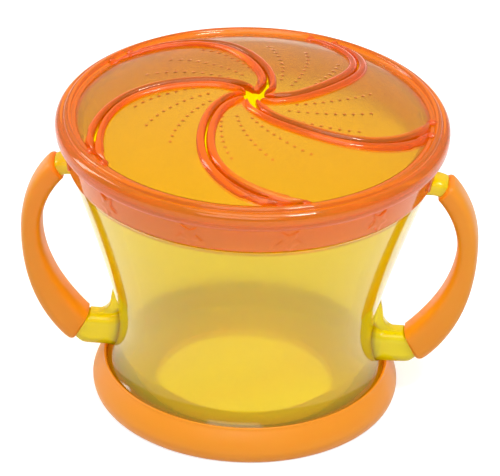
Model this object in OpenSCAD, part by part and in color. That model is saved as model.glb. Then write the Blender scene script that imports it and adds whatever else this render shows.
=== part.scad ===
// Toddler snack container: a two-handled cup, a soft foot ring, soft hand grips,
// and a push-on lid ring that carries a domed soft membrane cut into five spiral flaps.
// The origin is under the middle of the foot, +Z is up and the handles lie along X.

/* [Cup] */
// Widest outer radius of the cup, just under the lid
shoulder_r = 46; // [43:0.5:50]
// Height of that shoulder above the table
shoulder_z = 66.2; // [60:0.5:80]
// Narrowest outer radius of the cup wall
waist_r = 33; // [30:0.5:36]
// Height of the waist above the table
waist_z = 18.5; // [16:0.5:24]
// Outer radius of the cup's foot
foot_r = 36; // [34.5:0.5:39]
// Wall thickness of the cup
wall_t = 1.8; // [1.2:0.1:2.4]
// Thickness of the cup's floor
floor_t = 2; // [1.4:0.1:3]
// Width of the ledge between the shoulder and the neck
ledge_w = 1.6; // [1.2:0.1:2.2]
// Height of the neck that the lid goes over
neck_h = 10.3; // [9:0.1:13]
// Height of the snap rib round the neck
snap_h = 0.55; // [0.3:0.05:0.8]

/* [Foot ring] */
// How far the foot ring stands out from the cup's foot
base_out = 3.6; // [2.6:0.1:6]
// Height of the foot ring
base_h = 9.3; // [8.5:0.1:12]
// Thickness of the foot ring under the cup
base_floor_t = 2.2; // [1.5:0.1:3]
// Radius of the opening under the cup
base_open_r = 22.4; // [16:0.2:28]
// Height of the foot ring's widest line
base_bulge_z = 3; // [2:0.1:4]
// How far the rib on the cup's foot stands out
foot_rib = 0.8; // [0.4:0.1:1.2]

/* [Handles] */
// Distance from the shoulder to the middle of the grip
finger_gap = 10; // [8:0.5:16]
// Drop from the shoulder to the middle of the upper arm
arm_drop = 3.3; // [3:0.1:5]
// Height of the upper arm
arm_h = 4.8; // [4:0.1:6]
// Width of the arms
arm_w = 7; // [5:0.1:9]
// Height of the lower arm's middle above the table
stub_z = 14.8; // [14.5:0.1:18]
// Height of the lower arm
stub_h = 9; // [7:0.1:9.5]
// Radius of the handle's upper bend
upper_bend_r = 25.4; // [20:0.2:30]
// Angle of the handle's upper bend
upper_bend_deg = 39; // [34:1:46]
// Angle of the handle's lower bend
lower_bend_deg = 44; // [38:1:50]
// Radius of the small bend into the upper arm
arm_bend_r = 5; // [4:0.5:7]
// Radius of the small bend into the lower arm
stub_bend_r = 6; // [5.5:0.5:8]
// How far the grip reaches round each small bend
grip_turn_deg = 19; // [10:1:24]
// Thickness of the grip at its middle
grip_t = 5.4; // [5:0.1:7]
// Thickness of the grip at its upper end
grip_top_t = 6; // [5:0.1:8]
// Thickness of the grip at its lower end
grip_end_t = 9.2; // [8:0.1:10.5]
// Width of the grip
grip_w = 9.2; // [7:0.1:12]
// Thickness of the soft skin over the handle's core
grip_skin = 1; // [0.6:0.1:1.5]
// Height of the web between the cup wall and the lower arm
web_h = 9.5; // [6:0.5:14]
// How far the web stands out from the wall at its foot
web_out = 2.4; // [1:0.1:4]
// Radius of the fillet between the web and the lower arm
web_fillet = 4; // [2:0.5:5]
// Thickness of that web
web_t = 3; // [2:0.5:5]

/* [Lid ring] */
// Gap between the shoulder's ledge and the skirt
skirt_gap = 0.9; // [0.5:0.1:1.5]
// Height of the skirt below the rim bead
skirt_h = 7.2; // [6:0.1:9]
// Thickness of the skirt
skirt_t = 1.55; // [1.2:0.05:2]
// How much wider the skirt is at its top
skirt_flare = 1.15; // [0.5:0.05:1.5]
// How far the rim bead stands out from the skirt
rim_out = 2; // [1:0.1:3]
// Height of the top ridge above the rim's inner edge
ridge_h = 0.95; // [0.5:0.05:1.5]
// Gap between the snap rib and the skirt
skirt_clear = 0.35; // [0.25:0.05:0.6]
// Gap between the snap rib and the lip it passes
snap_clear = 0.15; // [0.1:0.01:0.2]
// Gap between the top of the cup and the lid
seat_gap = 0.3; // [0.2:0.05:0.5]

/* [Stars] */
// Number of stars round the skirt
stars = 12; // [6:1:16]
// Radius of a star over its points
star_r = 3.8; // [2.5:0.1:4]
// Inner radius of a star as a share of that
star_waist = 0.5; // [0.38:0.02:0.6]
// How far a star stands out from the skirt
star_rise = 0.35; // [0.2:0.05:0.6]
// Direction of one star, round the axis
star_deg = -75; // [-90:1:90]

/* [Membrane] */
// Thickness of the membrane
mem_t = 1; // [0.8:0.1:1.5]
// Height of the dome above its edge
dome_h = 6.2; // [3:0.2:9]
// How flat the top of the dome is
dome_power = 3.2; // [2:0.1:4]
// Height of the bead along each slit
bead_h = 1; // [0.4:0.1:1.4]
// Width of the bead along each slit
bead_w = 2.2; // [1.6:0.1:3]
// Width of a slit
slit_gap = 0.7; // [0.6:0.05:1]
// Width of a slit where it opens into the middle
slit_mid_gap = 1.8; // [1.6:0.1:2]
// Width of a slit at its outer end
slit_end_gap = 1.5; // [1.3:0.1:2.4]
// Length over which a slit narrows from the middle
slit_mid_l = 7; // [5:0.5:9]
// Length over which a slit widens to its outer end
slit_end_l = 8; // [6:0.5:14]
// Gap along the line where a flap bends
root_gap = 0.45; // [0.4:0.05:0.7]
// Radius of the opening in the middle
hub_r = 2.9; // [2.8:0.1:3.4]
// Where the first slit starts, round the axis
slit_start_deg = 105; // [0:1:359]
// First order term of the slit's turn, from the middle to the edge
slit_lead_deg = 246; // [236:2:256]
// Second order term of the slit's turn
slit_ease_deg = -326; // [-332:2:-320]
// Third order term of the slit's turn
slit_curl_deg = 188; // [182:2:194]

/* [Hidden] */
$fn = 96;
flaps = 5;
flap_deg = 360 / flaps;

// Cup heights and radii that follow from the sizes above
cup_z = base_floor_t;              // underside of the cup, on the foot ring
floor_z = cup_z + floor_t;
neck_r = shoulder_r - ledge_w;
neck_top = shoulder_z + neck_h;
snap_drop = 1.1;                   // the snap rib's middle is this far below the cup's top
snap_z = neck_top - snap_drop;
foot_in = 0.9;                     // the foot ring hides this much of the cup's foot
foot_top = base_h - foot_in;
rib_z = [2.4, 2.8, 3.8, 4.2];      // the foot rib's corners above the cup's underside
fit_gap = 0.1;                     // gap between the cup's foot and the ring round it
base_r = foot_r + base_out;        // widest radius of the foot ring

// Handle centreline
grip_x = shoulder_r + finger_gap;
arm_z = shoulder_z - arm_drop;
apex_z = arm_z - arm_bend_r * (1 - sin(upper_bend_deg)) - upper_bend_r * sin(upper_bend_deg);
lower_bend_r = (apex_z - stub_z - stub_bend_r * (1 - sin(lower_bend_deg))) / sin(lower_bend_deg);
section_sides = 16;                // points round a handle section
section_power = 0.62;              // squareness of a handle section, 1 is an ellipse

// Lid heights and radii
skirt_in = neck_r + snap_h + skirt_clear;
lip_in = neck_r + snap_h + snap_clear;
skirt_z = shoulder_z + skirt_gap;
step_z = skirt_z + skirt_h;
seat_z = neck_top + seat_gap;
flange_t = 0.8;
tongue_t = 0.8;
tongue_z = seat_z + flange_t;
tongue_top = tongue_z + tongue_t;
rim_over = 0.55;                   // thickness of the rim over the groove
rim_z = tongue_top + rim_over;     // inner top edge of the rim, level with the membrane
bore_in = 0.5;
bore_r = skirt_in - bore_in;       // inner edge of the rim
flange_w = 0.8;                    // the flange under the membrane reaches in by this much
flange_r = bore_r - flange_w;
tongue_w = 1.1;                    // depth of the groove in the ring
tongue_r = bore_r + tongue_w;
skirt_top_r = skirt_in + skirt_t + skirt_flare;
rim_r = skirt_top_r + rim_out;

// Slit and flap geometry
slit_end_in = 2.3;                 // the slits end this far in from the rim
slit_end_r = bore_r - slit_end_in;
function slit_deg(r) = let (t = r / bore_r)
    slit_start_deg + t * (slit_lead_deg + t * (slit_ease_deg + t * slit_curl_deg));
function slit_slope(r) = let (t = r / bore_r)
    t * (slit_lead_deg + t * (2 * slit_ease_deg + t * 3 * slit_curl_deg)) * PI / 180;
// Angle that a distance across the slit takes up at radius r
function across(r, w) = w * sqrt(1 + pow(slit_slope(r), 2)) / r * 180 / PI;
function ease(t) = let (c = min(1, max(0, t))) c * c * (3 - 2 * c);
function half_gap(r) = (slit_gap + (slit_mid_gap - slit_gap) * (1 - ease((r - hub_r) / slit_mid_l))
    + (slit_end_gap - slit_gap) * ease((r - slit_end_r + slit_end_l) / slit_end_l)) / 2;
function dome(r) = rim_z + dome_h * (1 - pow(r / bore_r, dome_power));

// The straight line that a flap bends along runs from the outer end of its first slit
// square onto its second slit: find how far that line is from the axis
function root_error(d) = d - slit_end_r * cos(slit_deg(d) + flap_deg - slit_deg(slit_end_r));
function bisect(lo, hi, n) = let (m = (lo + hi) / 2)
    n == 0 ? m : root_error(m) > 0 ? bisect(lo, m, n - 1) : bisect(m, hi, n - 1);
root_d = bisect(slit_end_r / 2, slit_end_r * 0.9, 30);
root_deg = slit_deg(root_d) + flap_deg;
flap_d = root_d - root_gap;        // where the flap's own material starts

function lerp(a, b, t) = a + (b - a) * t;
function ring_faces(n, m, flip = false) = [
    for (i = [0 : n - 2], j = [0 : m - 1])
        let (a = i * m + j, b = i * m + (j + 1) % m, c = a + m, d = b + m)
        each flip ? [[a, b, d], [a, d, c]] : [[a, d, b], [a, c, d]]];

// Cup wall: two cubic curves, foot to waist and waist to shoulder
function cubic(p, t) = pow(1 - t, 3) * p[0] + 3 * pow(1 - t, 2) * t * p[1]
    + 3 * (1 - t) * t * t * p[2] + pow(t, 3) * p[3];
foot_sweep = 2;                    // the wall leaves the foot at 45 degrees over this distance
waist_sweep = 4.5;                 // and comes to the waist upright over this one
waist_hold = 0.18;                 // share of the way up that the wall stays near upright
belly = [0.43, 0.52];              // share of the way out and up where it turns outwards
lower_wall = [[foot_r, foot_top], [foot_r - foot_sweep, foot_top + foot_sweep],
              [waist_r, waist_z - waist_sweep], [waist_r, waist_z]];
upper_wall = [[waist_r, waist_z], [waist_r, lerp(waist_z, shoulder_z, waist_hold)],
              [lerp(waist_r, shoulder_r, belly.x), lerp(waist_z, shoulder_z, belly.y)],
              [shoulder_r, shoulder_z]];
lower_steps = 5;
upper_steps = 14;
function wall_curve(inset) = [
    for (i = [0 : lower_steps]) cubic(lower_wall, i / lower_steps) - [inset, 0],
    for (i = [1 : upper_steps]) cubic(upper_wall, i / upper_steps) - [inset, 0]];

module cup_profile() {
    ledge_rise = 0.2;              // the ledge slopes by this much
    snap_foot = 0.8;               // half the snap rib's height at the neck
    snap_crown = 0.2;              // and at its crown
    rim_cut = 0.4;                 // the cup's top edge is narrower by this much
    polygon([[0, cup_z], [foot_r, cup_z],
        [foot_r, cup_z + rib_z[0]], [foot_r + foot_rib, cup_z + rib_z[1]],
        [foot_r + foot_rib, cup_z + rib_z[2]], [foot_r, cup_z + rib_z[3]],
        each wall_curve(0),
        [neck_r, shoulder_z + ledge_rise],
        [neck_r, snap_z - snap_foot], [neck_r + snap_h, snap_z - snap_crown],
        [neck_r + snap_h, snap_z + snap_crown], [neck_r, snap_z + snap_foot],
        [neck_r - rim_cut, neck_top], [0, neck_top]]);
}

module cup_hollow() {
    corner = 3;                    // radius of the corner round the floor
    floor_out = 0.6;               // the floor is this much wider than the waist inside
    inner_r = waist_r - wall_t + floor_out;
    low_z = floor_z + 2 * corner;  // from here up the hollow follows the wall
    over = 1;                      // its neck starts this far over the shoulder
    polygon([[0, floor_z],
        for (a = [-90 : 22.5 : 0])
            [inner_r - corner + corner * cos(a), floor_z + corner + corner * sin(a)],
        for (p = wall_curve(wall_t)) if (p.y > low_z && p.y < shoulder_z - over) p,
        [neck_r - wall_t, shoulder_z + over], [neck_r - wall_t, neck_top + over],
        [0, neck_top + over]]);
}

// Handle centreline as [x, z, angle of the outward normal]
function bend(c, r, from, to, n) = [
    for (i = [0 : n]) let (t = lerp(from, to, i / n)) [c.x + r * cos(t), c.y + r * sin(t), t]];
upper_c = [grip_x - upper_bend_r, apex_z];
lower_c = [grip_x - lower_bend_r, apex_z];
arm_c = upper_c + (upper_bend_r - arm_bend_r) * [cos(upper_bend_deg), sin(upper_bend_deg)];
stub_c = lower_c + (lower_bend_r - stub_bend_r) * [cos(lower_bend_deg), -sin(lower_bend_deg)];
grip_from = upper_bend_deg + grip_turn_deg;
grip_to = -lower_bend_deg - grip_turn_deg;
arm_bend = bend(arm_c, arm_bend_r, 90, grip_from, 5);
stub_bend = bend(stub_c, stub_bend_r, grip_to, -90, 5);
upper_n = 7;                       // steps along the grip's upper and lower arcs
lower_n = 11;
end_n = 3;                         // steps round each of its ends
grip_start = bend(arm_c, arm_bend_r, grip_from, upper_bend_deg, end_n);
grip_upper = bend(upper_c, upper_bend_r, upper_bend_deg, 0, upper_n);
grip_lower = bend(lower_c, lower_bend_r, 0, -lower_bend_deg, lower_n);
grip_end = bend(stub_c, stub_bend_r, -lower_bend_deg, grip_to, end_n);
grip_path = [for (i = [0 : end_n - 1]) grip_start[i], each grip_upper,
             for (i = [1 : lower_n]) grip_lower[i], for (i = [1 : end_n]) grip_end[i]];

// Half thickness and half width of the grip at each point of its path, less an inset
grip_thick = [for (i = [1 : end_n]) grip_top_t,
              for (i = [0 : upper_n]) lerp(grip_top_t, grip_t, ease(i / upper_n)),
              for (i = [1 : lower_n]) lerp(grip_t, grip_end_t, ease(i / lower_n)),
              for (i = [1 : end_n]) grip_end_t];
function grip_sizes(inset) = [for (t = grip_thick) [t / 2 - inset, grip_w / 2 - inset]];

function round_power(v) = sign(v) * pow(abs(v), section_power);
function section(p, size) = [
    for (j = [0 : section_sides - 1])
        let (a = 360 * j / section_sides, u = round_power(cos(a)) * size[0])
        [p[0] + u * cos(p[2]), round_power(sin(a)) * size[1], p[1] + u * sin(p[2])]];

// The handle's core is moulded with the cup and runs through the grip
module handle_core() {
    core = grip_sizes(grip_skin);
    arm_root = [shoulder_r - ledge_w - wall_t / 2, arm_z, 90];
    stub_root = [waist_r - wall_t / 2, stub_z, -90];
    path = [arm_root, for (i = [0 : 4]) arm_bend[i], each grip_path,
            for (i = [1 : 5]) stub_bend[i], stub_root];
    sizes = [for (i = [0 : 5]) [arm_h, arm_w] / 2, each core,
             for (i = [1 : 5]) lerp(core[len(core) - 1], [stub_h, arm_w] / 2, ease(i / 3)),
             [stub_h, arm_w] / 2];
    n = len(path);
    m = section_sides;
    polyhedron([for (i = [0 : n - 1]) each section(path[i], sizes[i])],
        [each ring_faces(n, m), [for (j = [m - 1 : -1 : 0]) j], [for (j = [0 : m - 1]) (n - 1) * m + j]]);
}

// A thin web stiffens the lower arm where it meets the wall: it follows the wall, fades
// out towards its top and runs into the arm with a fillet
module handle_web() {
    top = stub_z + stub_h / 2;
    sink = 1;                      // how deep its foot reaches into the arm
    steps = 10;
    function wall_at(z) = lookup(z, [for (p = wall_curve(0)) [p.y, p.x]]);
    function fillet(h) = web_fillet - sqrt(pow(web_fillet, 2) - pow(max(0, web_fillet - h), 2));
    heights = [for (i = [0 : steps]) web_h * pow(i / steps, 2)];
    rotate([90, 0, 0]) translate([0, 0, -web_t / 2]) linear_extrude(web_t) polygon([
        [waist_r - wall_t / 2, top - sink], [wall_at(top) + web_out + web_fillet, top - sink],
        for (h = heights) [wall_at(top + h) + web_out * (1 - h / web_h) + fillet(h), top + h],
        for (i = [steps : -1 : 0]) [wall_at(top + heights[i]) - wall_t / 2, top + heights[i]]]);
}

module cup() {
    color([0.93, 0.83, 0.2, 0.6]) difference() {
        union() {
            rotate_extrude() cup_profile();
            for (side = [0, 180]) rotate([0, 0, side]) {
                handle_core();
                handle_web();
            }
        }
        rotate_extrude() cup_hollow();
    }
}

module base_ring() {
    bore = foot_r + fit_gap;
    groove = bore + foot_rib;
    edge = 1.6;                    // rounding of the outer edge, measured across
    lip_w = 1;                     // width of the lip round the cup
    lip_drop = 0.5;                // its outer and inner corners are this much lower
    lip_cut = 0.25;                // and cut back by this much
    side_power = 1.6;              // how full the side is, 1 is straight
    chamfer = 0.6;
    play = 0.1;                    // gap over and under the rib on the cup's foot
    color([0.93, 0.56, 0.15]) rotate_extrude() polygon([
        [base_open_r, chamfer], [base_open_r + chamfer, 0],
        for (a = [-90 : 15 : 0])
            [base_r - edge + edge * cos(a), base_bulge_z * (1 + sin(a))],
        for (i = [1 : 6]) let (t = i / 6)
            [lerp(base_r, foot_r + lip_w, pow(t, side_power)),
             lerp(base_bulge_z, base_h - lip_drop, t)],
        [foot_r + lip_w - lip_cut, base_h], [bore + lip_cut, base_h],
        [bore, base_h - lip_drop], [bore, cup_z + rib_z[3] + play],
        [groove, cup_z + rib_z[2] + play], [groove, cup_z + rib_z[1] - play],
        [bore, cup_z + rib_z[0] - play],
        [bore, cup_z], [base_open_r, cup_z]]);
}

// A soft grip moulded over the handle's core, with its bore the core's own shape
module grip() {
    outer = grip_sizes(0);
    inner = grip_sizes(grip_skin);
    n = len(grip_path);
    m = section_sides;
    k = n * m;
    color([0.93, 0.56, 0.15]) polyhedron(
        [for (i = [0 : n - 1]) each section(grip_path[i], outer[i]),
         for (i = [0 : n - 1]) each section(grip_path[i], inner[i])],
        [each ring_faces(n, m),
         for (f = ring_faces(n, m)) [f[0] + k, f[2] + k, f[1] + k],
         for (j = [0 : m - 1]) let (b = (j + 1) % m) each [[j, b, k + b], [j, k + b, k + j]],
         for (j = [0 : m - 1]) let (a = k - m + j, b = k - m + (j + 1) % m)
             each [[a, k + b, b], [a, k + a, k + b]]]);
}

module lid_ring() {
    bead_mid = (step_z + rim_z) / 2;
    bead_half = (rim_z - step_z) / 2;
    bead_round = 1;                // how deep the rim bead's edge is rounded
    ridge_half = 0.9;              // half the width of the top ridge
    ridge_in = 3;                  // its middle is this far in from the rim
    ridge_r = rim_r - ridge_in;
    pocket_r = tongue_r + 0.7;     // the ring's wall over the snap rib
    slope_h = 0.6;                 // height of the slopes beside the lip
    color([0.92, 0.42, 0.12, 0.75]) star_row();
    color([0.92, 0.42, 0.12, 0.75]) rotate_extrude() polygon([
        [skirt_in, skirt_z], [skirt_in + skirt_t, skirt_z], [skirt_top_r, step_z],
        for (a = [-75 : 25 : 75])
            [rim_r - bead_round * (1 - cos(a)), bead_mid + bead_half * sin(a)],
        for (a = [0 : 30 : 180]) [ridge_r + ridge_half * cos(a), rim_z + ridge_h * sin(a)],
        [bore_r, rim_z], [bore_r, tongue_top], [tongue_r, tongue_top], [tongue_r, tongue_z],
        [flange_r, tongue_z], [flange_r, seat_z], [pocket_r, seat_z],
        [pocket_r, snap_z - slope_h], [lip_in, snap_z - 2 * slope_h],
        [skirt_in, snap_z - 3 * slope_h]]);
}

// Plain five-pointed stars stand out from the skirt, cut off by its top and bottom edges
module star_row() {
    root = skirt_in + skirt_t / 2;
    margin = 0.2;                  // a star's point stays this far below the rim bead
    top_z = step_z - margin;
    points = [for (i = [0 : 9]) let (r = i % 2 == 0 ? star_r : star_r * star_waist)
        r * [sin(36 * i), cos(36 * i)]];
    intersection() {
        rotate_extrude() polygon([[root, skirt_z], [skirt_in + skirt_t + star_rise, skirt_z],
            [skirt_top_r + star_rise, step_z], [root, step_z]]);
        for (k = [0 : stars - 1]) rotate([0, 0, star_deg + k * 360 / stars])
            translate([root - skirt_t / 2, 0, top_z - star_r]) rotate([90, 0, 90])
                linear_extrude(rim_r - root) polygon(points);
    }
}

// Height of the half-round bead at a distance in from the edge of a slit
function bead(d, w) = d < 0 || d > w ? 0 : bead_h * sqrt(max(0, 1 - pow(2 * d / w - 1, 2)));

// The fixed part of the membrane: its inner edge follows each flap's bending line and
// then the slit beyond it, and its outer edge is a tongue held in the lid ring
end_round = slit_end_gap * 0.4;    // each slit's end is rounded beyond slit_end_r
end_bead = 0.3;                    // and the bead is this share of its height there
border_edge = [for (k = [0 : flaps - 1]) each [
    for (i = [0 : 5]) let (
        from = root_deg - slit_deg(slit_end_r) - across(slit_end_r, slit_end_gap / 2),
        b = lerp(from, across(root_d, slit_gap / 2), i / 5))
        [root_d / cos(b), root_deg - b + k * flap_deg, 0],
    for (i = [1 : 7]) let (r = lerp(root_d, slit_end_r, i / 7))
        [r, slit_deg(r) + (k + 1) * flap_deg - across(r, half_gap(r)), ease(i / 3)],
    [slit_end_r + end_round, slit_deg(slit_end_r) + (k + 1) * flap_deg, end_bead]]];

module flap_border() {
    steps = [0, 0.12, 0.24, 0.6, 1];    // shares of the way out, close together on the bead
    n = len(border_edge);
    loops = [for (e = border_edge) [
        for (s = steps) let (r = lerp(e[0], bore_r, s), w = min(bead_w, bore_r - e[0]))
            [r, dome(r) + e[2] * bead((s + 0.02) * (bore_r - e[0]), w)],
        [bore_r, tongue_top], [tongue_r, tongue_top], [tongue_r, tongue_z], [flange_r, tongue_z],
        for (s = [0.9, 0.45, 0]) let (r = lerp(e[0], flange_r, s)) [r, dome(r) - mem_t]]];
    m = len(loops[0]);
    color([0.94, 0.62, 0.15, 0.7]) polyhedron(
        [for (i = [0 : n - 1], p = loops[i])
            [p[0] * cos(border_edge[i][1]), p[0] * sin(border_edge[i][1]), p[1]]],
        [for (i = [0 : n - 1], j = [0 : m - 1])
            let (a = i * m + j, b = i * m + (j + 1) % m,
                 c = ((i + 1) % n) * m + j, d = ((i + 1) % n) * m + (j + 1) % m)
            each [[a, b, d], [a, d, c]]]);
}

// One flap, from the opening in the middle out to its bending line: across each row
// the columns are close together under the beads
corner_cut = 0.9;                  // the flap stops this far short of its slit's end
fade_l = 5;                        // its beads sink into it over this distance before the bend
flap_rows = [for (i = [0 : 11]) lerp(hub_r, flap_d, i / 11),
             for (i = [1 : 7]) flap_d / cos(acos(flap_d / (slit_end_r - corner_cut)) * i / 7)];
function flap_low(r) = slit_deg(r) + across(r, half_gap(r));
function flap_high(r) = let (slit = slit_deg(r) + flap_deg - across(r, half_gap(r)))
    r > flap_d ? min(slit, root_deg - acos(flap_d / r)) : slit;
function root_fade(r, a) = ease((root_d - r * cos(a - root_deg)) / fade_l);

module flap(turn) {
    columns = 11;
    rows = [for (r = flap_rows)
        let (lo = flap_low(r), hi = flap_high(r),
             e = min(across(r, bead_w), 0.3 * (hi - lo)),
             free = r > flap_d ? 0 : 1)
        concat(
            [for (c = [0, 0.5, 1]) [r, lo + c * e, 1, c]],
            [for (i = [1 : 5]) [r, lerp(lo + e, hi - e, i / 6), 0, 1]],
            [for (c = [1, 0.5, 0]) [r, hi - c * e, free, c]])];
    n = len(rows);
    lift = [0.45, 1, 0];           // bead height at its edge, crown and inner foot, as shares
    top = [for (row = rows, p = row)
        [p[0] * cos(p[1]), p[0] * sin(p[1]),
         dome(p[0]) + p[2] * root_fade(p[0], p[1]) * bead_h * lift[2 * p[3]]]];
    under = [for (row = rows, p = row)
        [p[0] * cos(p[1]), p[0] * sin(p[1]), dome(p[0]) - mem_t]];
    k = n * columns;
    function at(i, j) = i * columns + j;
    rotate([0, 0, turn * flap_deg]) color([0.94, 0.62, 0.15, 0.7]) polyhedron(
        concat(top, under),
        [for (i = [0 : n - 2], j = [0 : columns - 2]) each [
            [at(i, j), at(i, j + 1), at(i + 1, j + 1)], [at(i, j), at(i + 1, j + 1), at(i + 1, j)],
            [k + at(i, j), k + at(i + 1, j + 1), k + at(i, j + 1)],
            [k + at(i, j), k + at(i + 1, j), k + at(i + 1, j + 1)]],
         for (i = [0 : n - 2]) each [
            [at(i, 0), at(i + 1, 0), k + at(i + 1, 0)], [at(i, 0), k + at(i + 1, 0), k + at(i, 0)],
            [at(i, columns - 1), k + at(i + 1, columns - 1), at(i + 1, columns - 1)],
            [at(i, columns - 1), k + at(i, columns - 1), k + at(i + 1, columns - 1)]],
         for (j = [0 : columns - 2]) each [
            [at(0, j), k + at(0, j + 1), at(0, j + 1)], [at(0, j), k + at(0, j), k + at(0, j + 1)],
            [at(n - 1, j), at(n - 1, j + 1), k + at(n - 1, j + 1)],
            [at(n - 1, j), k + at(n - 1, j + 1), k + at(n - 1, j)]]]);
}

cup();
base_ring();
rotate([0, 0, 180]) grip();  // grip_left
grip();  // grip_right
lid_ring();
flap_border();
flap(0);  // flap_1
flap(1);  // flap_2
flap(2);  // flap_3
flap(3);  // flap_4
flap(4);  // flap_5
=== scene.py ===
# Toddler snack cup: two soft-gripped handles, a soft foot ring, and a push-on lid whose domed
# membrane is cut into five spiral flaps. Everything is in metres, in the CAD model's frame.
import bmesh
import bpy
import numpy as np
from mathutils import Matrix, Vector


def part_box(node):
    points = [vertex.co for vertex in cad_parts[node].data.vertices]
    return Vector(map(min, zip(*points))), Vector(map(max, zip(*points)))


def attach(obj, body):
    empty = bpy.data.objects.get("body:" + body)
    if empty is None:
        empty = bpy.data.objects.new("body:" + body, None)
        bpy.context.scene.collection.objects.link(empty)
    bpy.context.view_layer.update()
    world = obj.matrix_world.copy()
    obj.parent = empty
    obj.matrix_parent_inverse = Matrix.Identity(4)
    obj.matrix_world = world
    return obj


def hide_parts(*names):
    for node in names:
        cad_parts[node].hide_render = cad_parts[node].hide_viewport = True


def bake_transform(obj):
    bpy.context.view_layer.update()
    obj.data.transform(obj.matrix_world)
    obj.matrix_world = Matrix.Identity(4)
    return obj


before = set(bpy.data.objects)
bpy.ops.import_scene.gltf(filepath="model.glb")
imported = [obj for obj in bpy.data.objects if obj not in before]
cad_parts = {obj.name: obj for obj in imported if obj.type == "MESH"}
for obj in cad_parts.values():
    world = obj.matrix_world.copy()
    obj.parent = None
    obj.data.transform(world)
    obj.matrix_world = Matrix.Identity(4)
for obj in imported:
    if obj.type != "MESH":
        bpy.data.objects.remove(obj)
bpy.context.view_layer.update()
mm = 0.001

# Sizes that the CAD solids already have are read from their boxes
cupLow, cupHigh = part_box("cup")
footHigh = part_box("base_ring")[1]
ringLow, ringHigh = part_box("lid_ring")
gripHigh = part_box("grip_right")[1]
print("frame loaded, cup top at", round(cupHigh[2] / mm, 1), "mm")


def ease(t):
    # 0 below 0, 1 above 1, and 3t^2 - 2t^3 between
    t = np.clip(t, 0, 1)
    return t * t * (3 - 2 * t)


def mix(a, b, t):
    # a where t is 0, b where it is 1, and a straight line between
    return a + (b - a) * t


def gridFaces(rows, columns, wrapRows=False, wrapColumns=False):
    # the quads between neighbouring rows and columns of a grid, numbered row by row
    i, j = np.meshgrid(np.arange(rows if wrapRows else rows - 1),
                       np.arange(columns if wrapColumns else columns - 1), indexing="ij")
    below, right = (i + 1) % rows, (j + 1) % columns
    return np.stack([i * columns + j, i * columns + right,
                     below * columns + right, below * columns + j], -1).reshape(-1, 4)


def makePiece(name, shells, material, nodes):
    # one mesh from shells, each of them (points, faces), that may run into each other unjoined
    points = np.concatenate([p.reshape(-1, 3) for p, f in shells])
    starts = np.cumsum([0] + [p.size // 3 for p, f in shells[:-1]])
    faces = np.concatenate([f + s for (p, f), s in zip(shells, starts)])
    mesh = bpy.data.meshes.new(name)
    mesh.from_pydata(points.tolist(), [], faces.tolist())
    tidyMesh(mesh)
    return finishPiece(name, mesh, material, nodes)


def tidyMesh(mesh):
    # joins doubled points, drops faces with no area and turns all faces outwards
    work = bmesh.new()
    work.from_mesh(mesh)
    bmesh.ops.remove_doubles(work, verts=work.verts, dist=0.0005 * mm)
    bmesh.ops.dissolve_degenerate(work, dist=0.0002 * mm, edges=work.edges)
    bmesh.ops.recalc_face_normals(work, faces=work.faces)
    work.to_mesh(mesh)
    work.free()


def fuse(name, shells):
    # one closed skin round shells that run into each other
    parts = []
    for points, faces in shells:
        mesh = bpy.data.meshes.new(name)
        mesh.from_pydata(points.reshape(-1, 3).tolist(), [], faces.tolist())
        tidyMesh(mesh)
        parts.append(bpy.data.objects.new(name, mesh))
        bpy.context.scene.collection.objects.link(parts[-1])
    for other in parts[1:]:
        join = parts[0].modifiers.new("join", "BOOLEAN")
        join.operation, join.solver, join.object = "UNION", "EXACT", other
    seen = parts[0].evaluated_get(bpy.context.evaluated_depsgraph_get())
    whole = bpy.data.meshes.new_from_object(seen)
    for part in parts:
        bpy.data.objects.remove(part)
    return whole


def pointsOf(mesh):
    # all points of a mesh, one row each
    flat = np.empty(3 * len(mesh.vertices))
    mesh.vertices.foreach_get("co", flat)
    return flat.reshape(-1, 3)


def addValues(mesh, name, values):
    # one number a point, which a material can read
    mesh.attributes.new(name, "FLOAT", "POINT").data.foreach_set("value", values)


def finishPiece(name, mesh, material, nodes, creaseDeg=35):
    # the mesh as an object, smooth but for edges past the crease angle, in place of these CAD nodes
    mesh.polygons.foreach_set("use_smooth", np.ones(len(mesh.polygons), bool))
    mesh.set_sharp_from_angle(angle=np.radians(creaseDeg))
    piece = bpy.data.objects.new(name, mesh)
    bpy.context.scene.collection.objects.link(piece)
    mesh.materials.append(material)
    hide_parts(*nodes)
    print(name, len(mesh.polygons), "faces")
    return piece


def rounded(corners, steps=6):
    # corners (r, z, cut): each corner is cut back by that much along both sides, and the cut is
    # a quadratic curve that touches them; a cut of 0 keeps the point as it is
    out = []
    before, after = corners[-1:] + corners[:-1], corners[1:] + corners[:1]
    for last, (r, z, cut), following in zip(before, corners, after):
        p = np.array([r, z])
        if cut == 0:
            out.append(p[None])
            continue
        a, b = np.array(last[:2]) - p, np.array(following[:2]) - p
        la, lb = np.hypot(*a), np.hypot(*b)
        a, b = a / la * min(cut, 0.48 * la), b / lb * min(cut, 0.48 * lb)
        t = np.linspace(0, 1, steps + 1)[:, None]
        out.append((1 - t) ** 2 * (p + a) + 2 * t * (1 - t) * p + t * t * (p + b))
    return np.concatenate(out)


def turned(profile, sides=240, closed=True):
    # every (r, z) of the profile carried round the Z axis
    a = np.linspace(0, 2 * np.pi, sides, endpoint=False)
    r, z = profile[:, :1], profile[:, 1:]
    grid = np.stack([r * np.cos(a), r * np.sin(a), z + 0 * a], -1)
    return grid, gridFaces(len(profile), sides, wrapRows=closed, wrapColumns=True)


def hexColour(code):
    # an sRGB hex colour as linear red, green, blue and a 1
    c = np.array([int(code[i:i + 2], 16) for i in (0, 2, 4)]) / 255
    return (*np.where(c <= 0.04045, c / 12.92, ((c + 0.055) / 1.055) ** 2.4), 1)


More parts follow.
